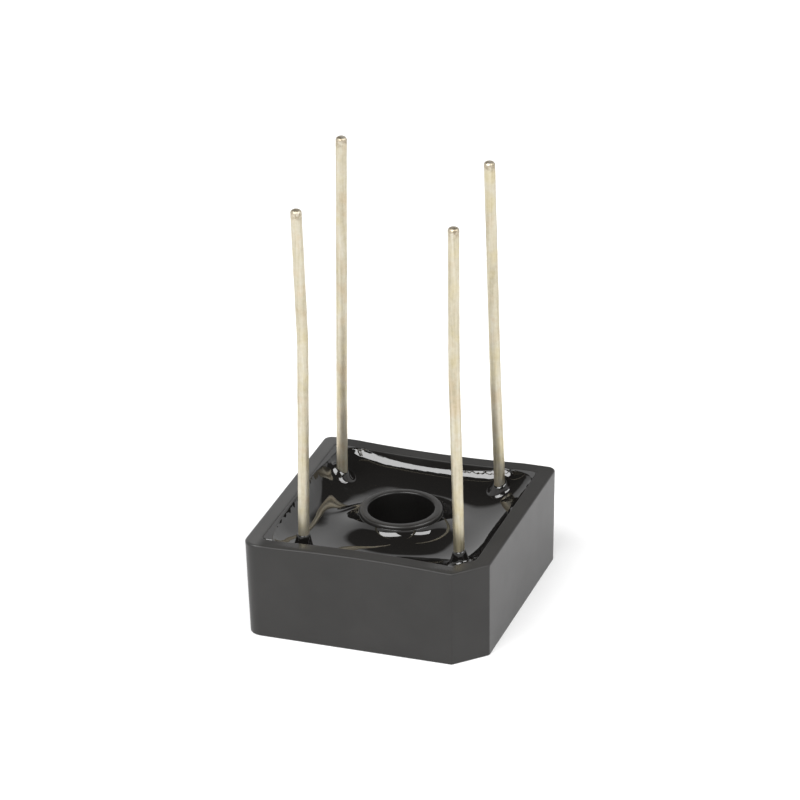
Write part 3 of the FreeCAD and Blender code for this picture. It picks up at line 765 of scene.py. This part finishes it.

# %% [markdown]
# ## Moulded black plastic
#
# The cup is a filled thermoset. Up close it is not black but a warm dark grey with a fine
# mould grain, and it has a satin sheen. Most of the rim is duller, where the parts rub
# together in their packing. The left rim is scuffed instead, which made it a little
# lighter and smoother. Two spots of the front rim, before the wires, carry a film of resin
# that ran over it. Inside the hole the colour is painted darker, as shade in the deep bore.
#
# All of that could be painted into a picture. Masks made from the place on the piece do it
# without one: each says where the rim, a film or the hole begins and ends.

# %% Where the case's finish changes
# Each pair is the place where a mask begins and the place where it is full, in millimetres.
RIM_HEIGHTS = (CASE_HEIGHT - 0.10, CASE_HEIGHT - 0.01)
LEFT_RIM = (-6.2, -6.9)
FILM_ALONG_RIM = (1.9, 0.6)
FILM_INNER_EDGE = (-5.9, -6.1)
FILM_OUTER_EDGE = (-7.35, -7.0)
# Painted shade in the hole: where the darkening begins and where it is full, from the axis.
BORE_SHADE_LIMITS = (HOLE_RADIUS + 0.14, HOLE_RADIUS + 0.02)
SATIN = 0.30
CLOUDY_SATIN = 0.10
RIM_DULLER = 0.28
LEFT_RIM_SMOOTHER = 0.33
LEFT_RIM_LIGHTER = 0.028
FILM_SMOOTHER = 0.45
# How much the painted shade darkens the colour on the hole's wall and mouth.
BORE_PAINTED_SHADE = 0.6
print("roughness of the rim %.2f, of its left side %.2f" % (
    SATIN + RIM_DULLER, SATIN + RIM_DULLER - LEFT_RIM_SMOOTHER))

# %% [markdown]
# The three noises have the sizes of what they stand for: slow clouds of a few millimetres,
# a mould grain of a tenth and specks half as large. The grain feeds a bump, since it is far
# too fine for the mesh.

# %% The case's finish
def case_plastic():
    """Near-black moulded epoxy: fine mould grain, faint mottling, a satin sheen."""
    finish, tree, shader = new_finish("moulded_black_case")
    where = places(tree)
    grain = noise(where, scale=9.0, detail=4.0, roughness=0.6)
    cloud = noise(where, scale=0.45, detail=3.0)
    speck = noise(where, scale=26.0, detail=2.0)
    dark = tones(cloud * 0.8 + grain * 0.2,
                 (0.3, (0.0115, 0.0108, 0.0100)), (0.7, (0.0165, 0.0155, 0.0145)))
    height = grain * 0.6 + speck * 0.4
    bump = tree.make("ShaderNodeBump", Strength=0.18, Distance=0.02 * MM, Height=height)
    to_right, to_rear, above = (
        tree.make("ShaderNodeSeparateXYZ", take=axis, Vector=where) for axis in "XYZ")
    on_rim = between(above, *RIM_HEIGHTS)
    on_left = between(to_right, *LEFT_RIM)
    film = 0.0
    for lead in ("ac_front", "positive"):
        from_lead = abs(to_right - float(lead_foot(LEADS[lead])[0])) + 0.6 * cloud
        film = film + between(from_lead, *FILM_ALONG_RIM)
    film = film * on_rim * between(to_rear, *FILM_INNER_EDGE) * between(to_rear, *FILM_OUTER_EDGE)
    from_axis = tree.make("ShaderNodeVectorMath", {"operation": "LENGTH"}, take="Value",
                          _0=where * (1, 1, 0))
    # A mask for the painted shade on the hole's wall and mouth.
    painted_bore_shade = between(from_axis, *BORE_SHADE_LIMITS)
    worn = RIM_DULLER - LEFT_RIM_SMOOTHER * on_left
    satin = SATIN + CLOUDY_SATIN * cloud + on_rim * worn
    scuffed = LEFT_RIM_LIGHTER * (on_left * on_rim)
    # The base colour is painted darker inside the hole, as shade.
    feed(tree, shader, Base_Color=dark * (1 - BORE_PAINTED_SHADE * painted_bore_shade) + scuffed,
         Roughness=satin - film * FILM_SMOOTHER, IOR=1.45, Normal=bump)
    return finish


dress([cup], case_plastic())

# %% [markdown]
# ## Glossy epoxy
#
# Cured epoxy is almost a black mirror, so its colour hardly matters and its surface is
# everything. It could do without any texture, and would then look computed. A slight ripple
# in the bump keeps the reflections alive.

# %% The resin's finish
RESIN_BLACK = (0.006, 0.0055, 0.005, 1)


def potting_resin():
    """Near-black cured epoxy, almost a mirror, with a slight ripple."""
    finish, tree, shader = new_finish("glossy_black_resin")
    ripple = noise(places(tree), scale=0.7, detail=2.0)
    bump = tree.make("ShaderNodeBump", Strength=0.12, Distance=0.05 * MM, Height=ripple)
    feed(tree, shader, Base_Color=RESIN_BLACK, Roughness=0.035, IOR=1.55, Normal=bump)
    return finish


dress([resin], potting_resin())

# %% [markdown]
# ## Tinned wire
#
# Dipped tin is a pale warm metal, dulled by handling and by flux: streaks run along the
# wire, patches cross it and a fine mottle breaks up the shine. A single metal colour would
# pass for new steel, so two faint tints, one yellow and one pink, vary it. At the cut tip
# the copper and the oxide show through as a brown spot, which follows the distance below
# the tip that the mesh remembers.

# %% The wires' finish
TIN = ((0.30, (0.38, 0.34, 0.24)), (0.48, (0.56, 0.515, 0.40)), (0.68, (0.68, 0.655, 0.57)))
TINTS = ((0.35, (1.0, 0.97, 0.86)), (0.5, (1.0, 1.0, 1.0)), (0.66, (1.0, 0.93, 0.86)))
CUT_END = ((0.35, (0.24, 0.19, 0.13)), (0.52, (0.48, 0.42, 0.32)), (0.66, (0.70, 0.67, 0.59)))
ALONG_THE_WIRE = (2.2, 2.2, 0.12)
# How far below the tip the brown is gone, and how far it is full.
BROWN_REACH = (0.95, 0.45)


def tinned_wire():
    """Dipped tin: warm pale metal, mottled and streaked, with a dull brown cut tip."""
    finish, tree, shader = new_finish("tinned_copper_wire")
    where = places(tree)
    streak = noise(places(tree, ALONG_THE_WIRE), scale=2.3, detail=5.0, roughness=0.6)
    patch = noise(where, scale=0.55, detail=4.0)
    mottle = noise(where, scale=3.6, detail=5.0, roughness=0.7)
    tint = tree.make("ShaderNodeTexNoise", {"noise_dimensions": "4D"}, Vector=where, W=7.0,
                     Scale=0.9, Detail=3.0)
    bright = tones(streak * 0.55 + patch * 0.20 + mottle * 0.25, *TIN)
    coat = bright * tones(tint, *TINTS)
    below_tip = tree.make("ShaderNodeAttribute", {"attribute_name": "below_tip"}, take="Fac")
    bare = between(below_tip + 0.5 * mottle, *BROWN_REACH)
    tone = tree.blend("MIX", coat, tones(mottle, *CUT_END), bare * 0.85)
    height = streak * 0.6 + mottle * 0.4
    bump = tree.make("ShaderNodeBump", Strength=0.45, Distance=0.03 * MM, Height=height)
    feed(tree, shader, Base_Color=tone, Metallic=1.0, Roughness=0.36 + 0.22 * patch, Normal=bump)
    return finish


dress(list(wires.values()), tinned_wire())

# %% [markdown]
# ## What the resin hides
#
# The strips, chips and solder are never seen, so any plain colour would do. But they are
# real pieces of the frame, and they get finishes of their own, so that the model can be
# opened up. One recipe serves all three: a metal with a fine grain that runs one way.

# %% Copper, silicon and solder
def plain_metal(name, light, dark, roughness, grain):
    """A metal with a fine directional grain between two tones."""
    finish, tree, shader = new_finish(name)
    brush = noise(places(tree, stretch=(1, 0.2, 1)), scale=grain, detail=4.0)
    tone = tones(brush, (0.35, dark), (0.65, light))
    bump = tree.make("ShaderNodeBump", Strength=0.2, Distance=0.01 * MM, Height=brush)
    feed(tree, shader, Base_Color=tone, Metallic=1.0, Roughness=roughness + 0.1 * brush,
         Normal=bump)
    return finish


HIDDEN = {
    "strip_": plain_metal("rolled_copper", light=(0.90, 0.55, 0.40), dark=(0.70, 0.38, 0.26),
                          roughness=0.3, grain=8.0),
    "diode_chip_": plain_metal("lapped_silicon", light=(0.24, 0.25, 0.28),
                               dark=(0.16, 0.17, 0.19), roughness=0.25, grain=14.0),
    "solder_": plain_metal("soft_solder", light=(0.66, 0.66, 0.64), dark=(0.46, 0.46, 0.45),
                           roughness=0.35, grain=5.0),
}
for start, finish in HIDDEN.items():
    dress([node for name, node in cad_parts.items() if name.startswith(start)], finish)

# %% [markdown]
# ## The studio
#
# The photograph has hardly any shadow, so its ground was lit as well. More lamps would thin
# the shadow too, but the resin would mirror them. The table here is a white sheet with a
# faint glow of its own instead, enough to lift the shadow at the part's foot.

# %% Table
TABLE_REACH = 3000.0
TABLE_GAP = 0.02
TABLE_WHITE = (0.62, 0.62, 0.62, 1)
TABLE_GLOW = 0.34
corners = [(x * TABLE_REACH, y * TABLE_REACH, 0) for x, y in ((-1, -1), (1, -1), (1, 1), (-1, 1))]
table = make_piece("table", corners, [(0, 1, 2, 3)])
table.location.z = -TABLE_GAP * MM
finish, tree, shader = new_finish("pale_table")
feed(tree, shader, Base_Color=TABLE_WHITE, Roughness=0.9,
     Emission_Color=(1, 1, 1, 1), Emission_Strength=TABLE_GLOW)
dress([table], finish)

# %% [markdown]
# ## What the resin mirrors
#
# A mirror shows its room. The flat resin is grey because it mirrors a bright sweep behind
# the part, and black wherever its slope turns that mirror up to a dark ceiling. A picture of
# a real room would bring its furniture into the gloss, so the room is a ramp over height:
# bright up to thirty degrees, and dark from about thirty-five.

# %% Sky: a bright sweep below a dark ceiling
SWEEP = (0.86, 0.86, 0.86)
CEILING = (0.08, 0.08, 0.08)
# The world's height runs as the sine of the angle above the horizon.
SWEEP_END = 0.50
CEILING_START = 0.57
world = bpy.data.worlds.new("studio")
bpy.context.scene.world = world
world.use_nodes = True
sky = Mix(world.node_tree)
back = next(node for node in world.node_tree.nodes if node.type == "BACKGROUND")
direction = sky.make("ShaderNodeTexCoord", take="Generated")
rise = sky.make("ShaderNodeSeparateXYZ", take="Z", Vector=direction)
glow = tones(rise, (0.0, SWEEP), (SWEEP_END, SWEEP), (CEILING_START, CEILING), (1.0, CEILING))
feed(sky, back, Color=glow, Strength=1.0)
print("sky bright up to %.0f degrees, dark from %.0f" % tuple(
    math.degrees(math.asin(height)) for height in (SWEEP_END, CEILING_START)))

# %% [markdown]
# ## Two windows
#
# Two oblong lights, one to the left of the camera and one far to the right, make the pairs
# of white dots on the tube and the wires' collars, and the white band along the rear wall.
# Sun lamps would make points of light. These have an area, so that the gloss mirrors their
# shape. Their bearings were worked out back from where those dots lie in the photograph.

# %% Soft boxes
LAMP_DISTANCE = 600.0


def direction_to(bearing, elevation):
    """A unit step away from the part: bearing 0 is the front, and 90 the right."""
    turn, climb = math.radians(bearing), math.radians(elevation)
    return np.array([math.sin(turn) * math.cos(climb), -math.cos(turn) * math.cos(climb),
                     math.sin(climb)])


def soft_box(name, bearing, elevation, width, height, radiance):
    """A lamp that faces the part, with its width and height as angles seen from there and
    its brightness relative to white paper."""
    light = bpy.data.lights.new(name, "AREA")
    light.shape = "RECTANGLE"
    light.size = 2 * LAMP_DISTANCE * math.tan(math.radians(width / 2)) * MM
    light.size_y = 2 * LAMP_DISTANCE * math.tan(math.radians(height / 2)) * MM
    light.energy = radiance * math.pi * light.size * light.size_y
    lamp = bpy.data.objects.new(name, light)
    away = Vector(direction_to(bearing, elevation))
    lamp.location = away * LAMP_DISTANCE * MM
    lamp.rotation_euler = away.to_track_quat("Z", "Y").to_euler()
    bpy.context.scene.collection.objects.link(lamp)
    print("%s: %.0f mm wide, %.2f W" % (name, light.size / MM, light.energy))


soft_box("left_window", bearing=-21, elevation=53, width=40, height=28, radiance=10.5)
soft_box("right_window", bearing=84, elevation=48, width=40, height=17, radiance=9.5)

# %% [markdown]
# ## The camera
#
# A camera can be set by eye, but then no size read from the picture can be trusted. The
# case's edges in the photograph fix it, once the side of the case is known: it looks down
# by 26 degrees from the right of the front, through a long lens.

# %% Camera
BEARING = 19.635
ELEVATION = 26.302
ROLL = math.radians(-1.212)
DISTANCE = 296.75
AIM_ACROSS = -0.124
AIM_UP = 9.225
FOCAL_PIXELS = 4818.9
FRAME_PIXELS = 800
SENSOR_WIDTH = 36
backward = direction_to(BEARING, ELEVATION)
level_right = direction_to(BEARING + 90, 0)
level_up = np.cross(backward, level_right)
right = math.cos(ROLL) * level_right + math.sin(ROLL) * level_up
up = math.cos(ROLL) * level_up - math.sin(ROLL) * level_right
eye = np.array([0, 0, CASE_HEIGHT / 2]) + AIM_ACROSS * right + AIM_UP * up + DISTANCE * backward
camera = bpy.data.objects.new("camera", bpy.data.cameras.new("camera"))
camera.data.sensor_width = SENSOR_WIDTH
camera.data.lens = SENSOR_WIDTH * FOCAL_PIXELS / FRAME_PIXELS
camera.data.clip_start = 0.01
camera.data.clip_end = 20
camera.matrix_world = Matrix([
    [right[k], up[k], backward[k], eye[k] * MM] for k in range(3)] + [[0, 0, 0, 1]])
bpy.context.scene.collection.objects.link(camera)
bpy.context.scene.camera = camera
bpy.context.scene.view_settings.view_transform = "Standard"
print("lens %.1f mm at %.1f mm" % (camera.data.lens, DISTANCE))
